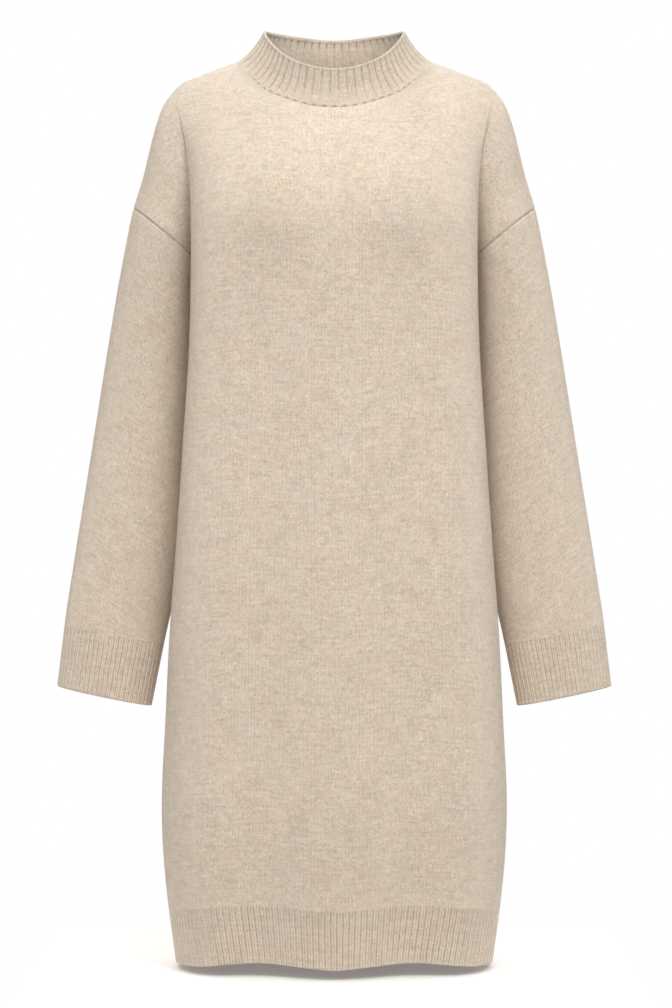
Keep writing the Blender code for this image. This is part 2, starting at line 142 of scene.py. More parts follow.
# Half of the collar from the middle of the front to the middle of the back, at the neckline and at the rim
COLLAR = table(
    "seam_x seam_y seam_z rim_x rim_y rim_z",
    (0.0000, -0.080, -0.0580, 0.0000, -0.066, -0.0160),
    (0.0352, -0.075, -0.0534, 0.0240, -0.063, -0.0128),
    (0.0509, -0.068, -0.0470, 0.0396, -0.056, -0.0068),
    (0.0715, -0.053, -0.0368, 0.0523, -0.046, 0.0013),
    (0.0885, -0.030, -0.0196, 0.0645, -0.029, 0.0138),
    (0.1040, 0.003, 0.0000, 0.0745, 0.002, 0.0325),
    (0.0880, 0.045, -0.0075, 0.0665, 0.028, 0.0352),
    (0.0500, 0.069, -0.0125, 0.0380, 0.051, 0.0340),
    (0.0000, 0.077, -0.0145, 0.0000, 0.060, 0.0315),
)
NECK_END = 5
# How far in the collar's wall curves at some heights between the seam (0) and the rim (1)
COLLAR_CURVE = table(
    "up inward",
    (0.00, 0.0000),
    (0.30, 0.0040),
    (0.65, 0.0030),
    (1.00, 0.0000),
)

# The shoulder seam from the neckline's end to the top of the armhole
SHOULDER = table(
    "x y z",
    (0.1040, 0.003, 0.0000),
    (0.1185, 0.002, -0.0064),
    (0.1425, 0.001, -0.0150),
    (0.1580, 0.000, -0.0211),
    (0.1680, 0.000, -0.0283),
    (0.1800, 0.002, -0.0445),
    (0.1895, 0.004, -0.0700),
    (0.1985, 0.007, -0.1040),
    (0.2070, 0.010, -0.1360),
    (0.2135, 0.012, -0.1550),
)
SHOULDER_EDGE = 3
SHOULDER_CREASE = 4

# Lines up each panel from the underarm's level: the middle, the body's rounded side, and the crease beside
# the arm. The arch is how far the cloth between the underarm and the sleeve rises.
FRONT_MIDDLE = [(0, -0.129, -0.180), (0, -0.123, -0.140), (0, -0.107, -0.098)]
FRONT_SIDE = [(0.1495, -0.051, -0.175), (0.1510, -0.051, -0.125), (0.1555, -0.047, -0.088),
              (0.1595, -0.034, -0.050), (0.1590, -0.016, -0.0250)]
FRONT_CREASE = [(0.1395, -0.018, -0.188), (0.1425, -0.033, -0.150), (0.1475, -0.042, -0.110),
                (0.1560, -0.042, -0.075), (0.1650, -0.029, -0.045), (0.1680, -0.013, -0.0298)]
BACK_MIDDLE = [(0, 0.109, -0.170), (0, 0.107, -0.110), (0, 0.096, -0.055)]
BACK_SIDE = [(0.1210, 0.067, -0.170), (0.1260, 0.068, -0.120), (0.1360, 0.062, -0.075),
             (0.1505, 0.042, -0.040), (0.1575, 0.019, -0.0240)]
BACK_CREASE = [(0.1400, 0.038, -0.188), (0.1425, 0.051, -0.150), (0.1475, 0.055, -0.110),
               (0.1560, 0.049, -0.075), (0.1650, 0.032, -0.045), (0.1680, 0.015, -0.0298)]
UNDERARM_ARCH = 0.004

# The sleeve's sections from the armhole to the cuff's end: the ends of each across the arm, how far back
# its middle lies, and half its depth
SLEEVE = table(
    "outer_x outer_z inner_x inner_z middle_y half_depth",
    (0.2135, -0.155, 0.1435, -0.2110, 0.012, 0.058),
    (0.2265, -0.216, 0.1450, -0.2640, 0.020, 0.057),
    (0.2415, -0.300, 0.1480, -0.3340, 0.028, 0.053),
    (0.2580, -0.403, 0.1530, -0.4280, 0.030, 0.047),
    (0.2735, -0.502, 0.1605, -0.5260, 0.026, 0.039),
    (0.2875, -0.597, 0.1805, -0.6165, 0.019, 0.031),
    (0.2950, -0.662, 0.1940, -0.6830, 0.015, 0.028),
)
SLEEVE_END = 5


def smooth(knots, values, wanted):
    """Values between the knots along one smooth curve, a cubic from each knot to the next."""
    slopes = np.gradient(values, knots, axis=0)
    index = np.clip(np.searchsorted(knots, wanted) - 1, 0, len(knots) - 2)
    width = knots[index + 1] - knots[index]
    part = (wanted - knots[index]) / width
    if np.ndim(values) > 1:
        part = part[..., None]
        width = width[..., None]
    rest = 1 - part
    start = values[index] * (1 + 2 * part) + slopes[index] * width * part
    end = values[index + 1] * (1 + 2 * rest) - slopes[index + 1] * width * rest
    return start * rest**2 + end * part**2


def distances(line):
    """How far along a line each of its points lies."""
    steps = np.linalg.norm(np.diff(line, axis=0), axis=1)
    return np.concatenate([[0], np.cumsum(steps)])


def spaced(line, fractions, values=None):
    """Points at the given fractions of a line's length, or what the values along it are there."""
    along = distances(line)
    wanted = np.asarray(fractions) * along[-1]
    values = line if values is None else values
    return np.stack([np.interp(wanted, along, values[:, axis]) for axis in range(3)], axis=-1)


def guide(points, steps, first=0, last=-1):
    """Evenly spaced points from one named point to another on the smooth curve through them all."""
    points = np.array(points, dtype=float)
    knots = distances(points)
    line = smooth(knots, points, np.linspace(knots[first], knots[last], CURVE_POINTS))
    return spaced(line, np.linspace(0, 1, steps + 1))


def columns_of(rows, *names):
    """Some columns of a table as points."""
    return np.stack([rows[name] for name in names], axis=1)


def body_outline(height):
    """The body's level outline on the +X side, from the middle of the front to the middle of the back."""
    size = {name: smooth(BODY["height"], BODY[name], height) for name in BODY}
    turn = np.linspace(-math.pi / 2, math.pi / 2, OUTLINE_POINTS)
    power = np.where(turn < 0, size["front_power"], size["back_power"])
    depth = np.where(turn < 0, size["widest_y"] - size["front"], size["back"] - size["widest_y"])
    across = size["half_width"] * np.maximum(np.cos(turn), 0) ** (2 / power)
    along = size["widest_y"] + np.sign(turn) * depth * np.abs(np.sin(turn)) ** (2 / power)
    return np.stack([across, along, np.full_like(turn, height)], axis=1)


def panel_point(is_front, fraction, height):
    """The point of the front or back at a fraction of the way from its middle to the side seam."""
    outline = body_outline(height)
    seam = np.array([np.interp(SIDE_SEAM_Y, outline[:, 1], outline[:, axis]) for axis in range(3)])
    if is_front:
        line = np.vstack([outline[outline[:, 1] < SIDE_SEAM_Y], seam])
    else:
        line = np.vstack([outline[outline[:, 1] > SIDE_SEAM_Y][::-1], seam])
    return spaced(line, fraction)


def relief(is_front, points):
    """How far the folds and the chest stand out from the plain outline at each point."""
    x, height = points[..., 0], points[..., 2]
    folds = FRONT_FOLDS if is_front else BACK_FOLDS
    fade = np.clip(1 + (FOLDS_START - height) / FOLDS_LEAD, 0, 1)
    down = np.clip((FOLDS_START - height) / (FOLDS_START - FOLDS_END), 0, 1)
    total = np.zeros_like(x)
    for chest_x, hem_x, spread, chest_depth, hem_depth in zip(*folds.values()):
        middle = chest_x + (hem_x - chest_x) * down
        depth = chest_depth * fade + (hem_depth - chest_depth) * down**FOLDS_GROWTH
        total += depth * np.exp(-(((x - middle) / spread) ** 2))
    if is_front:
        sideways = (np.abs(x) - CHEST_X) / CHEST_HALF_WIDTH
        upward = (height - CHEST_HEIGHT) / CHEST_HALF_HEIGHT
        total += CHEST_DEPTH * np.maximum(1 - sideways**2 - upward**2, 0) ** 2
    return total


def pushed_out(is_front, points):
    """A panel's points with their folds, which fade out before the body's rounded side."""
    across = np.linspace(0, 1, points.shape[-2])
    strength = np.clip(1 - (across * (FRONT_COLUMNS + SIDE_COLUMNS) / FRONT_COLUMNS) ** 4, 0, 1)
    outward = -1 if is_front else 1
    moved = points.copy()
    moved[..., 1] += outward * strength * relief(is_front, points)
    return moved


def hem_height(is_front, fraction, up):
    """The height of a level stretch of the hem, where up is 0 at the lower edge and 1 at the rib's top."""
    edge = HEM_EDGE["front" if is_front else "back"]
    return smooth(HEM_EDGE["across"], edge, np.asarray(fraction)) + up * HEM_RIB_HEIGHT


def patch(bottom, top, left, right, progress, reach=1):
    """A grid of points between four lines.

    Progress is how far x, y and z have gone at each row, and the higher the reach, the less far in from the
    left and the right line its own shape is felt.
    """
    across = np.linspace(0, 1, len(bottom))[None, :, None]
    plain = bottom[None] * (1 - progress[:, None]) + top[None] * progress[:, None]
    left_shift = (left - plain[:, 0])[:, None]
    right_shift = (right - plain[:, -1])[:, None]
    return plain + left_shift * (1 - across) ** reach + right_shift * across**reach


def evened(grid, first_row):
    """The grid with the unevenness between its inner points taken out, from a row on, and its edges kept."""
    grid = grid.copy()
    upper = grid[first_row:]
    for _ in range(EVENING_ROUNDS):
        for amount in EVENING_STEPS:
            around = upper[:-2, 1:-1] + upper[2:, 1:-1] + upper[1:-1, :-2] + upper[1:-1, 2:]
            upper[1:-1, 1:-1] += amount * (around / 4 - upper[1:-1, 1:-1])
    return grid


def sleeve_ring(down):
    """A ring round the sleeve, from its outer side by way of the front. Down is 0 at the armhole."""
    middles = columns_of(SLEEVE, "outer_x", "outer_z") + columns_of(SLEEVE, "inner_x", "inner_z")
    knots = distances(middles / 2)
    size = {name: smooth(knots, SLEEVE[name], down * knots[SLEEVE_END]) for name in SLEEVE}
    turn = np.linspace(0, 2 * math.pi, 2 * UPPER_ROWS, endpoint=False)
    outer = np.array([size["outer_x"], size["middle_y"], size["outer_z"]])
    inner = np.array([size["inner_x"], size["middle_y"], size["inner_z"]])
    ring = (outer + inner) / 2 + np.cos(turn)[:, None] * (outer - inner) / 2
    ring[:, 1] -= size["half_depth"] * np.sin(turn)
    if down > 0:
        for point in ring:
            outline = body_outline(min(point[2], BODY["height"][-1]))
            body_x = np.interp(point[1], outline[:, 1], outline[:, 0]) + SLEEVE_CLEARANCE
            excess = point[0] - body_x
            point[0] = body_x + (excess + math.hypot(excess, SLEEVE_SOFTNESS)) / 2
    return ring


def half_panel(is_front, side):
    """The grids of one half of a panel: the body, and the part over the upper arm. Side is 1 or -1."""
    mirror = np.array([side, 1, 1])
    fractions = np.linspace(0, 1, FRONT_COLUMNS + SIDE_COLUMNS + 1)
    seam_heights = hem_height(is_front, fractions, 1)
    lower = []
    for step in np.linspace(0, 1, LOWER_ROWS + 1):
        heights = seam_heights + (UNDERARM[2] - seam_heights) * step
        lower.append([panel_point(is_front, f, z) for f, z in zip(fractions, heights)])
    lower = np.array(lower)

    below, bottom = lower[-2], lower[-1]
    middle_points = FRONT_MIDDLE if is_front else BACK_MIDDLE
    side_points = FRONT_SIDE if is_front else BACK_SIDE
    crease_points = FRONT_CREASE if is_front else BACK_CREASE

    shoulder = columns_of(SHOULDER, "x", "y", "z")
    neck_to_edge = guide(shoulder, FRONT_COLUMNS - NECK_COLUMNS, 0, SHOULDER_EDGE)
    edge_to_crease = guide(shoulder, SIDE_COLUMNS, SHOULDER_EDGE, SHOULDER_CREASE)
    crease_to_arm = guide(shoulder, ARM_COLUMNS, SHOULDER_CREASE)
    neck = half_collar("seam", is_front)

    middle = guide([below[0], bottom[0], *middle_points, neck[0]], UPPER_ROWS, first=1)
    edge_points = [below[FRONT_COLUMNS], bottom[FRONT_COLUMNS], *side_points, edge_to_crease[0]]
    edge = guide(edge_points, UPPER_ROWS, first=1)
    crease = guide([bottom[-1], *crease_points, crease_to_arm[0]], UPPER_ROWS)

    turn = np.linspace(0, math.pi / 2, UPPER_ROWS + 1)
    over_shoulder = np.stack([1 - np.cos(turn), 1 - np.cos(turn), np.sin(turn)], axis=1)
    top = np.vstack([neck, neck_to_edge[1:]])
    chest = patch(bottom[: FRONT_COLUMNS + 1], top, middle, edge, over_shoulder, reach=2)
    beside = patch(bottom[FRONT_COLUMNS:], edge_to_crease, edge, crease, over_shoulder)
    body = np.concatenate([chest, beside[:, 1:]], axis=1)
    body = evened(np.concatenate([lower[:-1], body]), LOWER_ROWS - EVENED_ROWS_BELOW)

    armhole = sleeve_ring(0)
    order = UPPER_ROWS + np.arange(UPPER_ROWS + 1) * (-1 if is_front else 1)
    armhole = armhole[order % len(armhole)]
    arch = np.linspace(bottom[-1], armhole[0], ARM_COLUMNS + 1)
    arch[:, 2] += UNDERARM_ARCH * np.sin(np.linspace(0, math.pi, ARM_COLUMNS + 1))
    gently = np.repeat((1 - np.cos(2 * turn))[:, None] / 2, 3, axis=1)
    arm = patch(arch, crease_to_arm, crease, armhole, gently)
    return pushed_out(is_front, body * mirror), arm * mirror


def ring_of(prefix):
    """The collar's seam or rim from the middle of the front to that of the back, with a point past each."""
    half = columns_of(COLLAR, f"{prefix}_x", f"{prefix}_y", f"{prefix}_z")
    mirrored = half * (-1, 1, 1)
    return np.vstack([mirrored[1], half, mirrored[-2]])


def half_collar(prefix, is_front):
    """The collar's seam or rim from the middle of the front or back to the shoulder."""
    points = ring_of(prefix)
    if is_front:
        return guide(points, NECK_COLUMNS, 1, NECK_END + 1)
    return guide(points, NECK_COLUMNS, NECK_END + 1, len(points) - 2)[::-1]


def hem_rings(is_front):
    """Rings down one half of the ribbed hem, from side seam to side seam."""
    rings = []
    fractions = np.linspace(0, 1, FRONT_COLUMNS + SIDE_COLUMNS + 1)
    for up in (1, 0.5, 0):
        heights = hem_height(is_front, fractions, up)
        half = np.array([panel_point(is_front, f, z) for f, z in zip(fractions, heights)])
        left = pushed_out(is_front, half)
        right = pushed_out(is_front, half * (-1, 1, 1))
        rings.append(np.vstack([right[:0:-1], left]))
    return rings


def collar_rings():
    """Rings up the collar, from the neckline to the rim, starting at the middle of the back."""
    edges = []
    for prefix in ("seam", "rim"):
        front, back = half_collar(prefix, True), half_collar(prefix, False)
        half = np.vstack([front, back[-2::-1]])
        edges.append(np.vstack([(half * (-1, 1, 1))[::-1], half[1:-1]]))
    seam, rim = edges
    centre = (0, (COLLAR["seam_y"][0] + COLLAR["seam_y"][-1]) / 2, 0)
    inward = (centre - seam) * (1, 1, 0)
    inward /= np.linalg.norm(inward, axis=1, keepdims=True)
    rings = []
    for up, depth in zip(COLLAR_CURVE["up"], COLLAR_CURVE["inward"]):
        rings.append(seam + (rim - seam) * up + inward * depth)
    return rings


def sleeve_and_cuff_rings(side):
    """Rings down one sleeve, and the two rings of its cuff."""
    middles = columns_of(SLEEVE, "outer_x", "outer_z") + columns_of(SLEEVE, "inner_x", "inner_z")
    knots = distances(middles)
    mirror = (side, 1, 1)
    sleeve = [sleeve_ring(down) for down in np.linspace(0, 1, SLEEVE_ROWS + 1)]
    cuff = [sleeve[-1], sleeve_ring(knots[-1] / knots[SLEEVE_END])]
    return np.array(sleeve) * mirror, np.array(cuff) * mirror


def round_and_back(rings):
    """Closed rings as a grid whose last column is its first one again."""
    return np.concatenate([rings, rings[:, :1]], axis=1)


# How finely the smooth cloth is divided between two rows of the layout, and how often the layout is
# corrected so that the smooth cloth passes through it
LEVELS = 2
STEPS = 2**LEVELS
CORRECTIONS = 3
JOIN_DISTANCE = 1e-5

# The finished pieces' cells, and the closer rows at their seams: how far these lie from the seam, and how
# near one may come to another as a share of the first
PANEL_ROW = 0.009
PANEL_COLUMN = 0.0052
ARM_COLUMN = 0.006
EDGE_ROWS = (0.0007, 0.0015, 0.0027, 0.0042)
CLOSEST_ROWS = 0.4
SHARP_ANGLE = math.radians(50)

# Seams: how far an edge dips at the deepest one, how wide the dip is, the soft ridge beside it, how dark
# the painted shade in the dip is, how far the dip and the ridge reach, and how many places on an edge are
# measured from
SEAM_DIP = 0.0009
SEAM_WIDTH = 0.0009
SEAM_RIDGE = 0.0002
SEAM_RIDGE_PLACE = 0.0026
SEAM_SHADE = 1.6
SEAM_REACH = 3 * SEAM_RIDGE_PLACE
SEAM_SAMPLES = 12

# How deep each seam is, as a share of the deepest one
ARMHOLE_SEAM = 0.8
SIDE_SEAM = 0.35
NECK_SEAM = 0.3
SHOULDER_SEAM = 0.15
KNITTED_ON = 0.0

# Painted shade that darkens the body towards its foot, where less light falls: how much, from what height
# and over what depth
LOW_PAINTED_SHADE = 0.12
LOW_PAINTED_SHADE_START = -0.72
LOW_PAINTED_SHADE_DEPTH = 0.17

# Where the cloth over the upper arm is divided once more beside the crease, as shares of its first column,
# and how many rows down from the shoulder the crease is eased, at all and fully
CREASE_COLUMNS = (0.14, 0.42)
EASED_ROWS = 6
EASED_FULLY = 2


def add_grid(cloth, points, places, turned):
    """Adds a grid of faces with its corners moved to the points. Places are what its UV map says there."""
    layer = cloth.loops.layers.uv.verify()
    rows, columns = points.shape[:2]
    made = bmesh.ops.create_grid(cloth, x_segments=columns - 1, y_segments=rows - 1, size=0.5)
    corners = {}
    for vert in made["verts"]:
        column = round((vert.co.x + 0.5) * (columns - 1))
        row = round((vert.co.y + 0.5) * (rows - 1))
        corners[vert] = (row, column)
        vert.co = points[row, column]
    faces = list({face for vert in corners for face in vert.link_faces})
    for face in faces:
        for loop in face.loops:
            loop[layer].uv = places[corners[loop.vert]]
    if turned:
        bmesh.ops.reverse_faces(cloth, faces=faces)
    return corners, faces


def row_and_column(shape):
    """The column and row number at each point of a grid."""
    rows, columns = np.indices(shape[:2])
    return np.stack([columns, rows], axis=-1).astype(float)


def subdivided(layout):
    """The layout's grids joined and divided into one smooth surface: its points and outward directions."""
    cloth = bmesh.new()
    for number, (grid, turned) in enumerate(layout.values()):
        _, faces = add_grid(cloth, grid, row_and_column(grid.shape), turned)
        for face in faces:
            face.material_index = number
    bmesh.ops.remove_doubles(cloth, verts=cloth.verts, dist=JOIN_DISTANCE)
    mesh = bpy.data.meshes.new("layout")
    cloth.to_mesh(mesh)
    cloth.free()
    joined = bpy.data.objects.new("layout", mesh)
    bpy.context.scene.collection.objects.link(joined)
    divide = joined.modifiers.new("divide", "SUBSURF")
    divide.levels = divide.render_levels = LEVELS
    divide.uv_smooth = "NONE"
    fine = bpy.data.meshes.new_from_object(joined.evaluated_get(bpy.context.evaluated_depsgraph_get()))

    def read(collection, name, width, kind=float):
        values = np.empty(len(collection) * width, kind)
        collection.foreach_get(name, values)
        return values.reshape(-1, width)

    corner = read(fine.loops, "vertex_index", 1, int)[:, 0]
    place = np.rint(read(fine.uv_layers[0].uv, "vector", 2) * STEPS).astype(int)
    number = np.repeat(read(fine.polygons, "material_index", 1, int)[:, 0], 4)
    points = read(fine.vertices, "co", 3)
    normals = read(fine.vertex_normals, "vector", 3)
    found = {}
    for index, (name, (grid, _)) in enumerate(layout.items()):
        mine = number == index
        column, row = place[mine].T
        shape = (*((np.array(grid.shape[:2]) - 1) * STEPS + 1), 3)
        found[name] = np.empty(shape), np.empty(shape)
        found[name][0][row, column] = points[corner[mine]]
        found[name][1][row, column] = normals[corner[mine]]
    bpy.data.objects.remove(joined)
    bpy.data.meshes.remove(fine)
    bpy.data.meshes.remove(mesh)
    return found


def smooth_cloth(layout):
    """The smooth surface that passes through the layout's points."""
    cage = dict(layout)
    for _ in range(CORRECTIONS):
        fine = subdivided(cage)
        for name, (grid, turned) in layout.items():
            miss = grid - fine[name][0][::STEPS, ::STEPS]
            cage[name] = cage[name][0] + miss, turned
    return subdivided(cage)


def between(values, rows, columns):
    """A grid's values at rows and columns that may lie between its own."""
    def along(values, wanted):
        low = np.clip(np.floor(wanted).astype(int), 0, len(values) - 2)
        part = (wanted - low)[:, None, None]
        return values[low] * (1 - part) + values[low + 1] * part
    return along(along(values, np.asarray(rows)).swapaxes(0, 1), np.asarray(columns)).swapaxes(0, 1)


def run(points, axis):
    """How far each point of a grid lies along its row (axis 1) or its column (axis 0)."""
    steps = np.linalg.norm(np.diff(points, axis=axis), axis=-1)
    start = np.zeros_like(np.take(steps, [0], axis=axis))
    return np.concatenate([start, np.cumsum(steps, axis=axis)], axis=axis)


def near_edges(count, cell, edges):
    """Row numbers from 0 to the count, with closer ones on both sides of the edges."""
    numbers = set(range(count + 1))
    for edge in edges:
        for distance in EDGE_ROWS:
            numbers.update((edge - distance / cell, edge + distance / cell))
    numbers = sorted(number for number in numbers if 0 <= number <= count)
    closest = CLOSEST_ROWS * EDGE_ROWS[0] / cell
    kept = [numbers[0]]
    for number in numbers[1:]:
        if number - kept[-1] > closest:
            kept.append(number)
        elif number == int(number):
            kept[-1] = number
    return np.array(kept)


def seams_near(cloth, depth):
    """How far each point of an open cloth lies from its nearest edge, and how deep the seam is there."""
    edges = [edge for edge in cloth.edges if edge.is_boundary]
    tree = KDTree(len(edges) * SEAM_SAMPLES)
    depths = []
    for edge in edges:
        first, last = edge.verts
        for part in (np.arange(SEAM_SAMPLES) + 0.5) / SEAM_SAMPLES:
            tree.insert(first.co.lerp(last.co, part), len(depths))
            depths.append(first[depth] * (1 - part) + last[depth] * part)
    tree.balance()
    found = {}
    for vert in cloth.verts:
        _, nearest, distance = tree.find(vert.co)
        if distance < SEAM_REACH:
            found[vert] = 0.0 if vert.is_boundary else distance, depths[nearest]
    return found


def seam_relief(distance):
    """How far the cloth stands out at a distance from the deepest seam."""
    ridge = SEAM_RIDGE * math.exp(-(((distance - SEAM_RIDGE_PLACE) / SEAM_WIDTH) ** 2))
    return ridge - SEAM_DIP * math.exp(-((distance / SEAM_WIDTH) ** 2))


def finished(name, cloth, finish):
    """A piece of the dress from its bmesh."""
    mesh = bpy.data.meshes.new(name)
    cloth.to_mesh(mesh)
    cloth.free()
    mesh.materials.append(finish)
    mesh.uv_layers[0].name = "knit"
    mesh.shade_smooth()
    mesh.set_sharp_from_angle(angle=SHARP_ANGLE)
    piece = bpy.data.objects.new(name, mesh)
    bpy.context.scene.collection.objects.link(piece)
    return piece


def plain_piece(name, grids, finish):
    """A knitted wall from grids of points, outward directions, places in the knit and depths of seams."""
    cloth = bmesh.new()
    outward = cloth.verts.layers.float_vector.new("outward")
    home = cloth.verts.layers.float_vector.new("home")
    shade = cloth.verts.layers.float.new("shade")
    painted_shade_level = cloth.verts.layers.float.new("tone_and_painted_shade")
    depth = cloth.verts.layers.float.new("seam")
    for points, normals, places, seams, turned in grids:
        corners, _ = add_grid(cloth, points, places, turned)
        for vert, place in corners.items():
            vert[outward] = normals[place]
            vert[depth] = seams[place][0]
    bmesh.ops.remove_doubles(cloth, verts=cloth.verts, dist=JOIN_DISTANCE)
    # Each seam dips, with painted shade in its dip
    for vert, (distance, seam) in seams_near(cloth, depth).items():
        vert.co += vert[outward] * seam_relief(distance) * seam
        vert[shade] = math.exp(-((distance / SEAM_WIDTH) ** 2)) * seam * SEAM_SHADE
    for vert in cloth.verts:
        vert[home] = vert.co
        # Painted shade, darker towards the body's foot where less light falls
        vert[painted_shade_level] = LOW_PAINTED_SHADE * smoothstep((LOW_PAINTED_SHADE_START - vert.co.z) / LOW_PAINTED_SHADE_DEPTH)
    bmesh.ops.solidify(cloth, geom=cloth.faces, thickness=KNIT_WALL)
    for vert in cloth.verts:
        if (vert.co - vert[home]).length > JOIN_DISTANCE:
            vert.co = vert[home] - vert[outward].normalized() * KNIT_WALL
    return finished(name, cloth, finish)


def panel(name, cloth, is_front, finish):
    """The front or the back, with the parts of it that hang over the upper arms."""
    side = "front" if is_front else "back"
    left, right = cloth[f"{side}_left"], cloth[f"{side}_right"]
    points, normals = (np.concatenate([r[:, :0:-1], l], axis=1) for l, r in zip(left, right))
    middle = (points.shape[1] - 1) // 2
    across = run(points, 1)
    across -= across[:, middle : middle + 1]
    up = run(points, 0)
    knit = np.stack([across, up], axis=-1)
    top, underarm = len(points) - 1, LOWER_ROWS * STEPS
    seams = np.full((*points.shape[:2], 1), SIDE_SEAM)
    seams[-1] = SHOULDER_SEAM
    seams[-1, abs(np.arange(2 * middle + 1) - middle) <= NECK_COLUMNS * STEPS] = NECK_SEAM
    seams[0] = KNITTED_ON
    rows = near_edges(top, PANEL_ROW, (0, underarm, top))
    columns = near_edges(2 * middle, PANEL_COLUMN, (0, 2 * middle))
    grids = [(*(between(grid, rows, columns) for grid in (points, normals, knit, seams)), not is_front)]
    for sign, key in ((1, "left"), (-1, "right")):
        arm, outward = cloth[f"{side}_arm_{key}"]
        crease = knit[underarm:, -1 if sign > 0 else 0]
        around = crease[:, :1] + sign * run(arm, 1)
        along = crease[:1, 1:] + run(arm, 0)
        arm_knit = np.stack([around, along], axis=-1)
        arm_seams = np.full((*arm.shape[:2], 1), SIDE_SEAM)
        arm_seams[-1] = SHOULDER_SEAM
        arm_seams[:, -1] = ARMHOLE_SEAM
        arm_rows = rows[rows >= underarm] - underarm
        outer = arm.shape[1] - 1
        arm_columns = near_edges(outer, ARM_COLUMN, (outer,))
        values = (between(grid, arm_rows, arm_columns) for grid in (arm, outward, arm_knit, arm_seams))
        grids.append((*values, (sign > 0) != is_front))
    return plain_piece(name, grids, finish)


def sleeve(name, grids, turned, finish):
    """A sleeve from its armhole to its cuff."""
    points, normals = grids
    knit = np.stack([run(points, 1), -run(points, 0)], axis=-1)
    seams = np.full((*points.shape[:2], 1), KNITTED_ON)
    seams[0] = ARMHOLE_SEAM
    last = len(points) - 1
    rows = near_edges(last, PANEL_ROW, (0, last))
    columns = np.arange(points.shape[1])
    values = (between(grid, rows, columns) for grid in (points, normals, knit, seams))
    return plain_piece(name, [(*values, turned)], finish)


# A rib's own outline: places across one rib, from the middle of the raised part to the next, and how much
# of its height is in its round top, the rest being in the groove
RIB_PLACES = np.array([0.0, 0.16, 0.28, 0.36, 0.42, 0.46, 0.50, 0.54, 0.58, 0.64, 0.72, 0.84])
RIB_ROUNDNESS = 0.3

# Rows down a ribbed band: beside its seam, the first and the number of those over its ribs, those of its
# plain rim as shares of that rim, and the steps round the rolled edge
SEAM_ROWS = np.array([0, 0.0006, 0.0013, 0.0022, 0.0034])
FIRST_RIB_ROW = 0.0055
RIB_ROWS = 10
RIM_ROWS = np.array([0.8, 0.6, 0.45, 0.25, 0.1, 0.0])
RIM_TURNS = 6

# The rolled rims: how much of its own radius the roll takes from the band, how much of the ribs is left on
# it, and how much of the painted shade over the whole band it has
ROLL_ROOM = 0.8
RIM_RIBS = 0.35
RIM_PAINTED_SHADE = 0.9

# How much of the ribs' depth and of the painted shade in their grooves the inner face has
INNER_SHADE = 0.5

# The painted shade of the stitches at the neckline, a wavy line of dark dashes: how wide a dash is, how far
# it waves from the seam as a share of that, how dark the gaps between the dashes are, and where it starts
# and how soon it is full on the way from the shoulders
DASH_WIDTH = 0.0016
DASH_WAVE = 0.6
DASH_GAPS = 0.15
DASHES_START = 0.1
DASHES_LEAD = 0.5

# The painted shade at the ends of the grooves under the rolled rim: how far from its edge, how long, and
# how much of it shows outside
DOTS_PLACE = 0.0035
DOTS_WIDTH = 0.0025
OUTER_DOTS = 0.4

# How soon ribs stand out beside a seam, and the collar's slower rise and where that starts
RISE = 0.003
COLLAR_RISE = 0.014
COLLAR_RISE_START = 0.25

# The collar's ribs at the middle of the front: how narrow the flatter part is (the higher, the narrower),
# how far from the seam they begin to stand out and over what distance, and how much they do at first and
# after that
FLAT_NARROWNESS = 6
FLAT_DEPTH = 0.010
FLAT_RISE = 0.018
FLAT_LEAST = 0.08
FLAT_MORE = 0.54


def smoothstep(value):
    """A soft step from 0 to 1."""
    value = np.clip(value, 0, 1)
    return value * value * (3 - 2 * value)


def short_rise(distance, fraction):
    """Ribs that stand out from just beside the seam, all round."""
    return smoothstep(distance / RISE) + 0 * fraction


def collar_rise(distance, fraction):
    """The collar's ribs: full under the rim, and at the middle of the front nearly flat above the seam."""
    middle = np.maximum(-np.cos(2 * np.pi * fraction), 0) ** FLAT_NARROWNESS
    late = FLAT_LEAST + FLAT_MORE * smoothstep((distance - FLAT_DEPTH) / FLAT_RISE)
    slow = COLLAR_RISE_START + (1 - COLLAR_RISE_START) * smoothstep(distance / COLLAR_RISE)
    return slow * smoothstep(distance / RISE) * (1 - middle * (1 - late))


# The ribbed bands, in the words of ribbed_band
CUFF_RIBS = {"ribs": 52, "groove": 0.17, "relief": 0.0007, "groove_shade": 0.4, "tone_and_painted_shade": 0.14}
HEM_RIBS = {"ribs": 80, "groove": 0.125, "relief": 0.0007, "groove_shade": 0.9, "tone_and_painted_shade": 0.30, "rim": 0.0045}
COLLAR_RIBS = {
    "ribs": 56, "wales": 3, "groove": 0.09, "relief": 0.0013, "groove_shade": 2.2, "tone_and_painted_shade": 0.22,
    "inner_painted_shade": -0.02, "swell": 0.0005, "rise": collar_rise, "seam": NECK_SEAM, "dashes": 5.0, "dots": 2.6,
}


def trough(across, groove):
    """How near the bottom of a groove each place across the ribs is, from 0 to 1."""
    return np.exp(-((((across % 1) - 0.5) / groove) ** 2))


def sunk(across, groove):
    """How far below the top of a rib each place across the ribs is, from 0 to 1."""
    return RIB_ROUNDNESS * (1 - np.cos(2 * np.pi * across)) / 2 + (1 - RIB_ROUNDNESS) * trough(across, groove)


def sampled_band(points, normals, downs, fractions):
    """A band's points and outward directions at shares of its depth and of the way round it."""
    numbers = downs * (len(points) - 1)
    columns = np.arange(points.shape[1])
    lines = between(points, numbers, columns)
    outs = between(normals, numbers, columns)
    grid = np.array([spaced(line, fractions) for line in lines])
    out = np.array([spaced(line, fractions, values) for line, values in zip(lines, outs)])
    return grid, out / np.linalg.norm(out, axis=-1, keepdims=True)


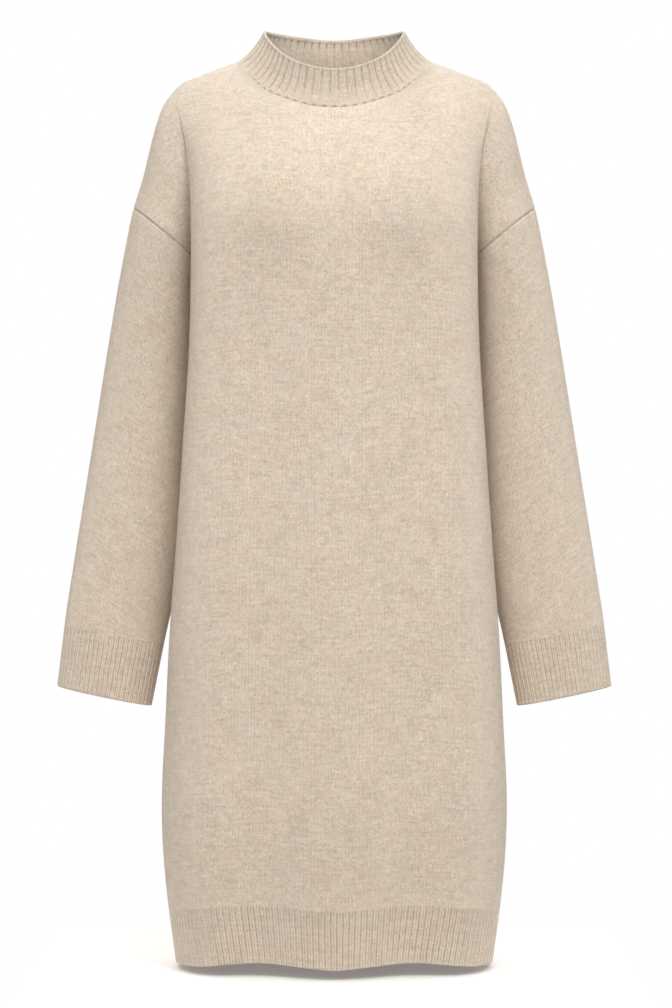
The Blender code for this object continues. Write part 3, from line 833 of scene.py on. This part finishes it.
def rolled_edge(grid, out, half, outer_depth, inner_depth):
    """The rows round a band's rolled edge. Half is the roll's radius, and the depths are its ribs' own."""
    end = grid[-1] - out[-1] * RIB_WALL / 2
    onward = grid[-1] - grid[-2]
    onward /= np.linalg.norm(onward, axis=-1, keepdims=True)
    rows = []
    for turn in np.linspace(0, math.pi, RIM_TURNS + 1)[1:-1]:
        outward = half * math.cos(turn) - outer_depth * (1 + math.cos(turn)) / 2
        inward = inner_depth * (1 - math.cos(turn)) / 2
        rows.append(end + out[-1] * (outward + inward)[:, None] + onward * half * math.sin(turn))
    return rows


def stitching(distance, across, fractions):
    """How dark a seam's wavy line of dashes of painted shade is, from 0 to 1. It fades out towards the
    shoulders.
    """
    stitched = 0.5 + 0.5 * np.cos(2 * np.pi * across)
    wavy = distance[:, None] - DASH_WIDTH * DASH_WAVE * stitched
    faded = smoothstep((abs(np.cos(2 * np.pi * fractions)) - DASHES_START) / DASHES_LEAD)
    return np.exp(-((wavy / DASH_WIDTH) ** 2)) * (DASH_GAPS + (1 - DASH_GAPS) * stitched**2) * faded


def ribbed_band(name, band, finish, ribs, groove, relief, groove_shade, tone_and_painted_shade, inner_painted_shade=0.0, wales=1, rim=0.0030,
                swell=0.0, rise=short_rise, seam=KNITTED_ON, dashes=0.0, dots=0.0):
    """A ribbed band from the joined cloth, from its seam to its rolled rim.

    Ribs is how many it has, groove is half a groove's width as a share of a rib, relief is how deep it is and
    groove_shade how dark the painted shade in it is, and tone_and_painted_shade and inner_painted_shade are
    how much painted shade darkens the whole band outside and inside; where one is below zero it is painted
    light.
    Wales is how many columns of stitches one rib and its groove take, rim is how deep the plain rolled edge
    is, and swell how much thicker than the band. Rise says how much the ribs stand out at each distance
    from the seam and place round the band, seam is how deep the seam is and dashes how dark the painted shade
    of its stitches is, and dots is how dark the painted shade at the ends of the grooves under the rim is.
    """
    points, normals, closed, turned = band
    fractions = (np.arange(ribs)[:, None] + RIB_PLACES).ravel() / ribs
    fractions = np.append(fractions, 1.0)
    across = fractions * ribs
    half = RIB_WALL / 2 + swell
    depth = run(points, 0).mean(axis=1)[-1]
    last = 1 - half * ROLL_ROOM / depth
    rib_downs = np.linspace(FIRST_RIB_ROW / depth, last - rim / depth, RIB_ROWS)
    downs = np.concatenate([SEAM_ROWS / depth, rib_downs, last - rim * RIM_ROWS / depth])
    distance = downs * depth
    grid, out = sampled_band(points, normals, downs, fractions)

    to_rim = smoothstep((last * depth - distance) / rim)[:, None]
    strength = rise(distance[:, None], fractions[None]) * (RIM_RIBS + (1 - RIM_RIBS) * to_rim)
    outer_depth = relief * strength * sunk(across, groove)
    inner_depth = relief * strength * sunk(across + 0.5, groove) * INNER_SHADE
    dip = seam * np.array([seam_relief(value) for value in distance])[:, None]
    swelling = swell * (1 - to_rim)
    outer = grid + out * (dip + swelling - outer_depth)[..., None]
    inner = grid - out * (RIB_WALL + swelling - inner_depth)[..., None]
    rolled = rolled_edge(grid, out, half, outer_depth[-1], inner_depth[-1])
    whole = np.concatenate([outer, rolled, inner[::-1], outer[:1]])

    # Painted shade in the grooves, in the dashes of the seam's stitches and at the groove ends under the rim
    seam_dark = stitching(distance, across, fractions) * dashes
    under_rim = np.exp(-(((last * depth - distance - DOTS_PLACE) / DOTS_WIDTH) ** 2))[:, None] * dots
    outer_dark = (strength * groove_shade + under_rim * OUTER_DOTS) * trough(across, groove) + seam_dark
    inner_dark = (strength * INNER_SHADE + under_rim) * trough(across + 0.5, groove)
    rim_dark = np.tile(outer_dark[-1], (len(rolled), 1))
    dark = np.concatenate([outer_dark, rim_dark, inner_dark[::-1], outer_dark[:1]])
    # Painted shade over the whole band, and painted light inside where it is below zero
    painted_shade_rows = [tone_and_painted_shade] * len(outer) + [tone_and_painted_shade * RIM_PAINTED_SHADE] * len(rolled) + [inner_painted_shade] * len(inner) + [tone_and_painted_shade]

    up = run(whole, 0).mean(axis=1)
    offset = 0.5 if wales == 1 else 0.0
    knit = np.stack(np.broadcast_arrays((across * wales + offset)[None] * WALE, -up[:, None]), axis=-1)
    cloth = bmesh.new()
    shade = cloth.verts.layers.float.new("shade")
    painted_shade_level = cloth.verts.layers.float.new("tone_and_painted_shade")
    corners, _ = add_grid(cloth, whole, knit, turned)
    for vert, place in corners.items():
        vert[shade] = dark[place]
        vert[painted_shade_level] = painted_shade_rows[place[0]]
    bmesh.ops.remove_doubles(cloth, verts=cloth.verts, dist=JOIN_DISTANCE)
    if not closed:
        ends = [edge for edge in cloth.edges if edge.is_boundary]
        bmesh.ops.holes_fill(cloth, edges=ends, sides=0)
    return finished(name, cloth, finish)


class Number:
    """A socket that carries a number, with the maths that can be done on it."""

    def __init__(self, nodes, socket):
        self.nodes = nodes
        self.socket = socket

    def maths(self, operation, *values):
        """One more step of maths, on these values in their order."""
        node = self.nodes.node("ShaderNodeMath", {"operation": operation})
        for entry, value in zip(node.inputs, values):
            self.nodes.feed(entry, value)
        return self.nodes.number(node.outputs[0])

    def __add__(self, other):
        return self.maths("ADD", self, other)

    def __sub__(self, other):
        return self.maths("SUBTRACT", self, other)

    def __mul__(self, other):
        return self.maths("MULTIPLY", self, other)

    def __truediv__(self, other):
        return self.maths("DIVIDE", self, other)

    def __pow__(self, other):
        return self.maths("POWER", self, other)

    def __radd__(self, other):
        return self.maths("ADD", other, self)

    def __rsub__(self, other):
        return self.maths("SUBTRACT", other, self)

    def __rmul__(self, other):
        return self.maths("MULTIPLY", other, self)

    def __abs__(self):
        return self.maths("ABSOLUTE", self)

    def fraction(self):
        return self.maths("FRACT", self)


class Nodes:
    """The nodes of a material or of the world."""

    def __init__(self, owner):
        owner.use_nodes = True
        self.tree = owner.node_tree

    def node(self, kind, settings=None, **sockets):
        """A node of this kind, with its settings made first and then the values or links of its sockets.

        A socket goes by its name, with _ for each space, or by its number, such as at_6.
        """
        node = self.tree.nodes.new(kind)
        for name, value in (settings or {}).items():
            setattr(node, name, value)
        for name, value in sockets.items():
            key = name.replace("_", " ") if not name.startswith("at_") else int(name[3:])
            self.feed(node.inputs[key], value)
        return node

    def feed(self, entry, value):
        """Gives an input socket a value, or links it to the socket that the value comes from."""
        if isinstance(value, Number):
            value = value.socket
        if isinstance(value, bpy.types.NodeSocket):
            self.tree.links.new(value, entry)
        else:
            entry.default_value = value

    def shade(self, look):
        """Gives the material's own shader its values and links."""
        for name, value in look.items():
            self.feed(self.tree.nodes["Principled BSDF"].inputs[name], value)

    def number(self, socket):
        return Number(self, socket)

    def noise(self, place, scale, detail=2.0, roughness=0.5):
        made = self.node("ShaderNodeTexNoise", Vector=place, Scale=scale, Detail=detail, Roughness=roughness)
        return self.number(made.outputs["Fac"])

    def attribute(self, name):
        return self.number(self.node("ShaderNodeAttribute", {"attribute_name": name}).outputs["Fac"])

    def mix(self, amount, first, second):
        made = self.node("ShaderNodeMix", {"data_type": "RGBA"}, at_0=amount, at_6=first, at_7=second)
        return made.outputs[2]


# The yarn's colours, as light that they send back, and the colour of the painted shade in grooves and seams;
# what is added to them where it is lighter, how light it is all over, and how much painted shade darkens the
# gaps between its stitches
YARN_WARM = (0.748, 0.616, 0.476, 1)
YARN_COOL = (0.720, 0.620, 0.514, 1)
YARN_SHADOW = (0.300, 0.225, 0.160, 1)
PALER = (0.81, 0.79, 0.75)
LIGHTNESS = 0.06
GAP_SHADE = 0.32

# The yarn's mottling: the scale of each noise and how much lighter or cooler it makes the yarn, and the
# streaks along the rows of stitches, with how much of them goes by in a column and in a row
TONES = ((1500.0, 0.42), (800.0, 0.50), (400.0, 0.36), (190.0, 0.22), (85.0, 0.16), (30.0, 0.09))
COOLNESS = ((330.0, 0.10), (120.0, 0.5), (45.0, 1.25), (16.0, 1.0))
STREAK_TONE = 0.28
STREAKS_IN_COLUMN = 0.12
STREAKS_IN_ROW = 0.8

# The stitches: how far their columns and rows wander and at what scale, how steeply the legs of a V rise,
# how much lower their ends are and how short those are, and how narrow the line of painted shade between
# two columns is
WANDER_SCALE = 90.0
COLUMN_WANDER = 0.25
ROW_WANDER = 0.5
LEG_SLANT = 0.9
LEG_ENDS = 0.55
LEG_END_SHARPNESS = 2.5
COLUMN_LINE_SHARPNESS = 6.0

# The painted shade in grooves and seams: how dark it is everywhere and how much more in patches of this
# scale, and at each stitch
SHADE_LEAST = 0.2
SHADE_PATCHES = 2.8
SHADE_SCALE = 260.0
SHADE_AT_STITCH = 1.25

# The nap of fine fibres, and how rough and how softly lit from the side it makes the cloth
FIBRE_SCALE = 1500.0
FIBRE_HEIGHT = 0.35
ROUGHNESS = 0.65
FIBRE_ROUGHNESS = 0.20
NAP = {
    "Specular IOR Level": 0.4,
    "Sheen Weight": 0.55,
    "Sheen Roughness": 0.55,
    "Sheen Tint": (1.0, 0.95, 0.88, 1),
}


def knit_finish(name, depth, groove_and_seam_shade, column_shade):
    """Mottled yarn in plain knit: columns of small Vs with painted shade in the gaps between them.

    Depth is how far the stitches stand out, groove_and_seam_shade how dark the painted shade in grooves and
    seams is, and column_shade how much painted shade darkens the yarn between two columns.
    """
    material = bpy.data.materials.new(name)
    yarn = Nodes(material)
    place = yarn.node("ShaderNodeUVMap", {"uv_map": "knit"}).outputs["UV"]
    body = yarn.node("ShaderNodeTexCoord").outputs["Object"]
    parts = yarn.node("ShaderNodeSeparateXYZ", Vector=place)
    wander = yarn.noise(place, WANDER_SCALE) - 0.5
    across = yarn.number(parts.outputs["X"]) / WALE + wander * COLUMN_WANDER
    up = yarn.number(parts.outputs["Y"]) / COURSE + wander * ROW_WANDER

    beside = abs(across.fraction() - 0.5) * 2
    leg = abs((across * 2).fraction() - 0.5) * 2
    along = abs((up - beside * LEG_SLANT).fraction() - 0.5) * 2
    height = (1 - leg**2.0) * (1 - LEG_ENDS * along**LEG_END_SHARPNESS)
    gaps = (1 - height) ** 2.0

    streaks = {"X": across * STREAKS_IN_COLUMN, "Y": up * STREAKS_IN_ROW}
    streaks = yarn.node("ShaderNodeCombineXYZ", **streaks).outputs["Vector"]
    # Painted shade in the gaps between stitches and between columns, added to the yarn's own mottling
    tone_and_painted_shade = LIGHTNESS - gaps * GAP_SHADE - beside**COLUMN_LINE_SHARPNESS * column_shade
    tone_and_painted_shade = tone_and_painted_shade + (yarn.noise(streaks, 1.0) - 0.5) * STREAK_TONE
    for scale, amount in TONES:
        tone_and_painted_shade = tone_and_painted_shade + (yarn.noise(body, scale) - 0.5) * amount
    cool = 0.5
    for scale, amount in COOLNESS:
        cool = cool + (yarn.noise(place, scale) - 0.5) * amount
    colour = yarn.mix(cool, YARN_WARM, YARN_COOL)
    lighter = {"operation": "MULTIPLY_ADD"}
    colour = yarn.node("ShaderNodeVectorMath", lighter, at_0=PALER, at_1=tone_and_painted_shade, at_2=colour).outputs["Vector"]
    darker = {"operation": "SCALE"}
    # Painted shade over a ribbed band and towards the body's foot, painted light where it is below zero
    kept = 1 - yarn.attribute("tone_and_painted_shade")
    colour = yarn.node("ShaderNodeVectorMath", darker, at_0=colour, Scale=kept).outputs["Vector"]
    # Painted shade in grooves and seams, in patches and at each stitch, mixed towards YARN_SHADOW
    stitches = SHADE_AT_STITCH - abs((up + 0.5).fraction() - 0.5)
    uneven = (SHADE_LEAST + SHADE_PATCHES * yarn.noise(body, SHADE_SCALE) ** 2.0) * stitches
    colour = yarn.mix(yarn.attribute("shade") * uneven * groove_and_seam_shade, colour, YARN_SHADOW)

    fibres = yarn.noise(place, FIBRE_SCALE, detail=3.0)
    relief = height + fibres * FIBRE_HEIGHT
    bump = yarn.node("ShaderNodeBump", Strength=1.0, Distance=depth, Height=relief)
    rough = ROUGHNESS + FIBRE_ROUGHNESS * fibres
    yarn.shade({"Base Color": colour, "Roughness": rough, "Normal": bump.outputs["Normal"], **NAP})
    return material


def eased_crease(body, arm):
    """The grids of a body and an upper arm with more columns beside their crease, eased near the shoulder."""
    rows = []
    for row in arm:
        knots = distances(row)
        more = smooth(knots, row, knots[1] * np.array(CREASE_COLUMNS))
        rows.append(np.vstack([row[:1], more, row[1:]]))
    arm = np.array(rows)
    crease = body.shape[1] - 1
    moved = slice(crease - SIDE_COLUMNS + 1, crease + len(CREASE_COLUMNS) + 1)
    for down in range(EASED_ROWS):
        row = -1 - down
        line = np.vstack([body[row], arm[row, 1:]])
        along = distances(line)
        kept = np.delete(np.arange(len(line)), moved)
        share = 1 - smoothstep((down - EASED_FULLY) / (EASED_ROWS - EASED_FULLY))
        line[moved] += share * (smooth(along[kept], line[kept], along[moved]) - line[moved])
        body[row] = line[: crease + 1]
        arm[row] = line[crease:]
    return body, arm


def dress_layout():
    """Every grid of the joined cloth, with whether its faces are turned over to face outwards."""
    layout = {}
    for key, side in (("left", 1), ("right", -1)):
        for part, is_front in (("front", True), ("back", False)):
            body, arm = eased_crease(*half_panel(is_front, side))
            turned = (side > 0) != is_front
            layout[f"{part}_{key}"] = body, turned
            layout[f"{part}_arm_{key}"] = arm, turned
        rings, cuff = sleeve_and_cuff_rings(side)
        layout[f"sleeve_{key}"] = round_and_back(rings), side < 0
        layout[f"cuff_{key}"] = round_and_back(cuff), side < 0
    layout["hem_rib_front"] = np.array(hem_rings(True)), True
    layout["hem_rib_back"] = np.array(hem_rings(False)), False
    layout["collar"] = round_and_back(np.array(collar_rings())), False
    return layout


def make_dress():
    cloth = smooth_cloth(dress_layout())
    plain = knit_finish("plain_knit", depth=0.0006, groove_and_seam_shade=0.55, column_shade=0.06)
    ribbed = knit_finish("rib_knit", depth=0.0005, groove_and_seam_shade=0.40, column_shade=0.08)
    pieces = {
        "front": panel("front_panel", cloth, True, plain),
        "back": panel("back_panel", cloth, False, plain),
    }
    for side, mirrored in (("left", False), ("right", True)):
        name = f"sleeve_{side}"
        pieces[name] = sleeve(f"{name}_knit", cloth[name], mirrored, plain)
    for side, mirrored in (("left", False), ("right", True)):
        name = f"cuff_{side}"
        band = (*cloth[name], True, mirrored)
        pieces[name] = ribbed_band(f"{name}_knit", band, ribbed, **CUFF_RIBS)
    for name, turned in (("hem_rib_front", True), ("hem_rib_back", False)):
        band = (*cloth[name], False, turned)
        pieces[name] = ribbed_band(f"{name}_knit", band, ribbed, **HEM_RIBS)
    band = (*cloth["collar"], True, False)
    pieces["collar"] = ribbed_band("collar_knit", band, ribbed, **COLLAR_RIBS)
    return pieces


# The plain knitted pieces
PLAIN = ("front", "back", "sleeve_left", "sleeve_right")


def declare(pieces):
    for node, piece in pieces.items():
        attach(piece, "root")
        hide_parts(node)
        "plain_knit" if node in PLAIN else "rib_knit"


# The floor: how high it lies, half its side, and its look, with a faint warm glow: painted light that keeps
# it white and lifts and warms its shadow, as light bounced off the dress would
FLOOR_HEIGHT = -0.9575
FLOOR_SIZE = 0.32
FLOOR_LOOK = {
    "Base Color": (0.82, 0.82, 0.82, 1),
    "Roughness": 0.9,
    "Emission Color": (1, 0.95, 0.90, 1),
    "Emission Strength": 0.20,
}

# The soft light of the room, which is the product of what comes from below or above and from before or
# behind
ROOM_COLOUR = (1.0, 0.967, 0.932, 1)
LIGHT_FROM_BELOW = 0.25
LIGHT_FROM_ABOVE = 0.83
LIGHT_FROM_FRONT = 0.6
LIGHT_FROM_BEHIND = 1.7

# The square lamps: where each is, its side in metres and its power in watts
LIGHTS = {
    "high_left_light": ((-0.9, -2.4, 1.6), 1.4, 6.5),
    "high_right_light": ((1.2, -2.4, 1.6), 1.4, 9.4),
    "front_light": ((-0.1, -3.1, 0.3), 2.4, 4.6),
}
LIGHTS_AIM = (0, 0, -0.15)
LIGHTS_SPREAD = math.radians(70)

# The camera, level and straight in front, and how wide its view is at the dress
CAMERA_DISTANCE = 3.2
CAMERA_HEIGHT = -0.4685
CAMERA_X = 0.0018
CAMERA_SENSOR = 36.0
VIEW_WIDTH = 0.7123


def make_floor():
    """A plain pale floor just under the hem."""
    floor = bpy.data.objects.new("floor", bpy.data.meshes.new("floor"))
    ground = bmesh.new()
    bmesh.ops.create_grid(ground, x_segments=1, y_segments=1, size=FLOOR_SIZE)
    bmesh.ops.translate(ground, verts=ground.verts, vec=(0, 0, FLOOR_HEIGHT))
    ground.to_mesh(floor.data)
    ground.free()
    paint = bpy.data.materials.new("pale_floor")
    Nodes(paint).shade(FLOOR_LOOK)
    floor.data.materials.append(paint)
    bpy.context.scene.collection.objects.link(floor)


def make_room():
    """Soft light from all round, in front of a white backdrop."""
    world = bpy.data.worlds.new("studio")
    room = Nodes(world)
    way = room.node("ShaderNodeTexCoord").outputs["Generated"]
    parts = room.node("ShaderNodeSeparateXYZ", Vector=way)

    def blend(axis, low, high):
        softly = {"interpolation_type": "SMOOTHSTEP"}
        sides = {"Value": parts.outputs[axis], "From_Min": -1.0, "To_Min": low, "To_Max": high}
        return room.number(room.node("ShaderNodeMapRange", softly, **sides).outputs["Result"])

    upwards = blend("Z", LIGHT_FROM_BELOW, LIGHT_FROM_ABOVE)
    backwards = blend("Y", LIGHT_FROM_FRONT, LIGHT_FROM_BEHIND)
    soft = room.tree.nodes["Background"]
    room.feed(soft.inputs["Color"], ROOM_COLOUR)
    room.feed(soft.inputs["Strength"], upwards * backwards)
    white = room.node("ShaderNodeBackground", Color=(1, 1, 1, 1)).outputs[0]
    seen = room.node("ShaderNodeLightPath").outputs["Is Camera Ray"]
    backdrop = room.node("ShaderNodeMixShader", Fac=seen, at_1=soft.outputs[0], at_2=white).outputs[0]
    room.feed(room.tree.nodes["World Output"].inputs["Surface"], backdrop)
    bpy.context.scene.world = world
    bpy.context.scene.view_settings.view_transform = "Standard"


def make_lights():
    for name, (place, size, power) in LIGHTS.items():
        light = bpy.data.lights.new(name, "AREA")
        light.size = size
        light.energy = power
        light.spread = LIGHTS_SPREAD
        lamp = bpy.data.objects.new(name, light)
        lamp.location = place
        lamp.rotation_euler = (Vector(LIGHTS_AIM) - Vector(place)).to_track_quat("-Z", "Y").to_euler()
        bpy.context.scene.collection.objects.link(lamp)


def make_camera():
    camera = bpy.data.objects.new("camera", bpy.data.cameras.new("camera"))
    camera.data.sensor_fit = "HORIZONTAL"
    camera.data.sensor_width = CAMERA_SENSOR
    camera.data.lens = CAMERA_SENSOR * CAMERA_DISTANCE / VIEW_WIDTH
    camera.location = (CAMERA_X, -CAMERA_DISTANCE, CAMERA_HEIGHT)
    camera.rotation_euler = (math.pi / 2, 0, 0)
    bpy.context.scene.collection.objects.link(camera)
    bpy.context.scene.camera = camera


pieces = make_dress()
declare(pieces)
make_floor()
make_room()
make_lights()
make_camera()
